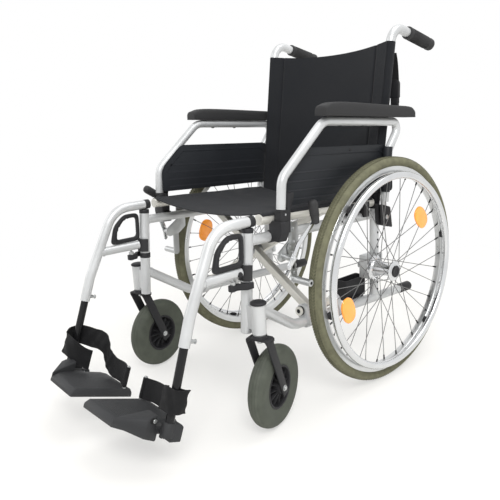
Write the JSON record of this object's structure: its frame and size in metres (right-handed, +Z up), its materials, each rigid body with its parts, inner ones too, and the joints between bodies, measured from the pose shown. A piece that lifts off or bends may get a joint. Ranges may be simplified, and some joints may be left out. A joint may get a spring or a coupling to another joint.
{
  "type": "folding wheelchair",
  "caption": "Self-propelled folding wheelchair: cross-braced tube frame, spoked rear wheels with push rings, casters, swing-away leg rests and flip-back arms",
  "frame": {"origin": "on the floor, under the middle of the chair's bounding box", "axes": "+Z up; the chair faces -Y; its left side is at +X, so the rear wheels' axles lie along X"},
  "size_m": [0.6342, 1.084, 0.9457],
  "materials": {
    "aluminium": "brushed",
    "black_fabric": "woven nylon",
    "black_plastic": "moulded, fine grain",
    "bright_steel": "polished",
    "caster_tyre": "grey-green, smooth",
    "grey_tyre": "grey-green, fine tread",
    "grip_rubber": "ribbed",
    "pad_foam": "soft grained foam skin",
    "panel_plastic": "ribbed, matte",
    "silver_paint": "smooth silver powder coat",
    "zinc_steel": "zinc plated"
  },
  "bodies": {
    "left_frame": {"left_side_frame": "silver_paint", "left_push_grip": "grip_rubber", "left_front_arm_socket": "black_plastic", "left_rear_arm_socket": "black_plastic", "left_axle_bracket": "silver_paint", "left_axle": "zinc_steel", "left_brake_mount": "zinc_steel", "left_stick_cup": "black_plastic", "back_sling": "black_fabric"},
    "front_brace": {"front_brace": "silver_paint"},
    "rear_brace": {"rear_brace": "silver_paint", "seat_sling": "black_fabric"},
    "right_frame": {"right_side_frame": "silver_paint", "right_push_grip": "grip_rubber", "right_front_arm_socket": "black_plastic", "right_rear_arm_socket": "black_plastic", "right_axle_bracket": "silver_paint", "right_axle": "zinc_steel", "right_brake_mount": "zinc_steel"},
    "left_wheel": {"left_rear_tyre": "grey_tyre", "left_rear_rim": "aluminium", "left_spoked_hub": "bright_steel", "left_handrim": "bright_steel"},
    "left_button": {"left_axle_button": "black_plastic"},
    "left_caster": {"left_caster_fork": "black_plastic"},
    "left_caster_wheel": {"left_caster_tyre": "caster_tyre", "left_caster_rim": "black_plastic"},
    "left_leg_rest": {"left_hanger": "silver_paint", "left_hanger_grip": "black_plastic"},
    "left_leg_rest_release": {"left_release_lever": "black_plastic"},
    "left_extension": {"left_extension_tube": "black_plastic"},
    "left_footplate": {"left_footplate": "black_plastic", "left_heel_strap": "black_fabric"},
    "left_armrest": {"left_armrest_tube": "silver_paint", "left_armrest_pad": "pad_foam", "left_side_panel": "panel_plastic"},
    "left_arm_latch": {"left_arm_latch": "black_plastic"},
    "left_brake_lever": {"left_brake_lever": "zinc_steel"},
    "left_brake_shoe": {"left_brake_shoe": "zinc_steel"},
    "right_wheel": {"right_rear_tyre": "grey_tyre", "right_rear_rim": "aluminium", "right_spoked_hub": "bright_steel", "right_handrim": "bright_steel"},
    "right_button": {"right_axle_button": "black_plastic"},
    "right_caster": {"right_caster_fork": "black_plastic"},
    "right_caster_wheel": {"right_caster_tyre": "caster_tyre", "right_caster_rim": "black_plastic"},
    "right_leg_rest": {"right_hanger": "silver_paint", "right_hanger_grip": "black_plastic"},
    "right_leg_rest_release": {"right_release_lever": "black_plastic"},
    "right_extension": {"right_extension_tube": "black_plastic"},
    "right_footplate": {"right_footplate": "black_plastic", "right_heel_strap": "black_fabric"},
    "right_armrest": {"right_armrest_tube": "silver_paint", "right_armrest_pad": "pad_foam", "right_side_panel": "panel_plastic"},
    "right_arm_latch": {"right_arm_latch": "black_plastic"},
    "right_brake_lever": {"right_brake_lever": "zinc_steel"},
    "right_brake_shoe": {"right_brake_shoe": "zinc_steel"}
  },
  "joints": [
    {"name": "frame_fold", "type": "hinge", "parent": "left_frame", "child": "front_brace", "pos_m": [0.205, 0.04113, 0.23969], "axis": [0, 0.9991, -0.0419], "range_deg": [0, 50], "deforming": ["back_sling"]},
    {"name": "brace_scissor", "type": "hinge", "parent": "front_brace", "child": "rear_brace", "pos_m": [0, 0.02695, 0.36227], "axis": [0, 0.9991, -0.0419], "range_deg": [-100, 0], "deforming": ["seat_sling"]},
    {"name": "right_frame_level", "type": "hinge", "parent": "rear_brace", "child": "right_frame", "pos_m": [-0.205, 0.04113, 0.23969], "axis": [0, 0.9991, -0.0419], "range_deg": [0, 50]},
    {"name": "left_wheel_spin", "type": "hinge", "parent": "left_frame", "child": "left_wheel", "pos_m": [0.2802, 0.238, 0.304], "axis": [1, 0, 0], "continuous": true},
    {"name": "left_button_press", "type": "slide", "parent": "left_frame", "child": "left_button", "axis": [-1, 0, 0], "range_m": [0, 0.003], "stiffness_N_per_m": 600, "springref_m": -0.003},
    {"name": "left_caster_swivel", "type": "hinge", "parent": "left_frame", "child": "left_caster", "pos_m": [0.2563, -0.2125, 0.2528], "axis": [0, 0, 1], "continuous": true},
    {"name": "left_caster_spin", "type": "hinge", "parent": "left_caster", "child": "left_caster_wheel", "pos_m": [0.24001, -0.15955, 0.1], "axis": [0.9558, 0.294, 0], "continuous": true},
    {"name": "left_leg_rest_swing", "type": "hinge", "parent": "left_frame", "child": "left_leg_rest", "pos_m": [0.2165, -0.19749, 0.5], "axis": [0, 0.0769, 0.997], "range_deg": [0, 90]},
    {"name": "left_leg_rest_release", "type": "hinge", "parent": "left_leg_rest", "child": "left_leg_rest_release", "pos_m": [0.218, -0.25, 0.3535], "axis": [0, 0, -1], "range_deg": [0, 20], "stiffness_Nm_per_rad": 0.3, "springref_deg": -9.74},
    {"name": "left_leg_length", "type": "slide", "parent": "left_leg_rest", "child": "left_extension", "axis": [-0.0287, 0.3352, 0.9417], "range_m": [-0.035, 0.018]},
    {"name": "left_footplate_flip", "type": "hinge", "parent": "left_extension", "child": "left_footplate", "pos_m": [0.2, -0.46422, 0.10236], "axis": [0, 0.9289, -0.3703], "range_deg": [0, 90], "deforming": ["left_heel_strap"]},
    {"name": "left_armrest_flip", "type": "hinge", "parent": "left_frame", "child": "left_armrest", "pos_m": [0.2485, 0.278, 0.44], "axis": [-1, 0, 0], "range_deg": [0, 78]},
    {"name": "left_arm_latch_lift", "type": "hinge", "parent": "left_frame", "child": "left_arm_latch", "pos_m": [0.2485, -0.1064, 0.46757], "axis": [-1, 0, 0], "range_deg": [0, 18], "stiffness_Nm_per_rad": 0.2, "springref_deg": -9.74},
    {"name": "left_brake_throw", "type": "hinge", "parent": "left_frame", "child": "left_brake_lever", "pos_m": [0.264, -0.106, 0.405], "axis": [1, 0, 0], "range_deg": [0, 46]},
    {"name": "left_brake_shoe_swing", "type": "hinge", "parent": "left_frame", "child": "left_brake_shoe", "pos_m": [0.2346, -0.087, 0.425], "axis": [1, 0, 0], "range_deg": [-11.04, 0]},
    {"name": "right_wheel_spin", "type": "hinge", "parent": "right_frame", "child": "right_wheel", "pos_m": [-0.2802, 0.238, 0.304], "axis": [1, 0, 0], "continuous": true},
    {"name": "right_button_press", "type": "slide", "parent": "right_frame", "child": "right_button", "axis": [1, 0, 0], "range_m": [0, 0.003], "stiffness_N_per_m": 600, "springref_m": -0.003},
    {"name": "right_caster_swivel", "type": "hinge", "parent": "right_frame", "child": "right_caster", "pos_m": [-0.2563, -0.2125, 0.2528], "axis": [0, 0, 1], "continuous": true},
    {"name": "right_caster_spin", "type": "hinge", "parent": "right_caster", "child": "right_caster_wheel", "pos_m": [-0.2663, -0.15801, 0.1], "axis": [-0.9836, -0.1805, 0], "continuous": true},
    {"name": "right_leg_rest_swing", "type": "hinge", "parent": "right_frame", "child": "right_leg_rest", "pos_m": [-0.2165, -0.19749, 0.5], "axis": [0, -0.0769, -0.997], "range_deg": [0, 90]},
    {"name": "right_leg_rest_release", "type": "hinge", "parent": "right_leg_rest", "child": "right_leg_rest_release", "pos_m": [-0.218, -0.25, 0.3535], "axis": [0, 0, 1], "range_deg": [0, 20], "stiffness_Nm_per_rad": 0.3, "springref_deg": -9.74},
    {"name": "right_leg_length", "type": "slide", "parent": "right_leg_rest", "child": "right_extension", "axis": [0.0287, 0.3352, 0.9417], "range_m": [-0.035, 0.018]},
    {"name": "right_footplate_flip", "type": "hinge", "parent": "right_extension", "child": "right_footplate", "pos_m": [-0.2, -0.46422, 0.10236], "axis": [0, -0.9289, 0.3703], "range_deg": [0, 90], "deforming": ["right_heel_strap"]},
    {"name": "right_armrest_flip", "type": "hinge", "parent": "right_frame", "child": "right_armrest", "pos_m": [-0.2485, 0.278, 0.44], "axis": [-1, 0, 0], "range_deg": [0, 78]},
    {"name": "right_arm_latch_lift", "type": "hinge", "parent": "right_frame", "child": "right_arm_latch", "pos_m": [-0.2485, -0.1064, 0.46757], "axis": [-1, 0, 0], "range_deg": [0, 18], "stiffness_Nm_per_rad": 0.2, "springref_deg": -9.74},
    {"name": "right_brake_throw", "type": "hinge", "parent": "right_frame", "child": "right_brake_lever", "pos_m": [-0.264, -0.106, 0.405], "axis": [1, 0, 0], "range_deg": [-46, 0]},
    {"name": "right_brake_shoe_swing", "type": "hinge", "parent": "right_frame", "child": "right_brake_shoe", "pos_m": [-0.2346, -0.087, 0.425], "axis": [1, 0, 0], "range_deg": [0, 11.04]}
  ],
  "couplings": [
    {"joint": "brace_scissor", "follows": "frame_fold", "ratio": -2},
    {"joint": "right_frame_level", "follows": "frame_fold", "ratio": 1},
    {"joint": "left_footplate_flip", "follows": "frame_fold", "ratio": 1.8},
    {"joint": "left_brake_shoe_swing", "follows": "left_brake_throw", "ratio": -0.24},
    {"joint": "right_footplate_flip", "follows": "frame_fold", "ratio": 1.8},
    {"joint": "right_brake_shoe_swing", "follows": "right_brake_throw", "ratio": -0.24}
  ]
}
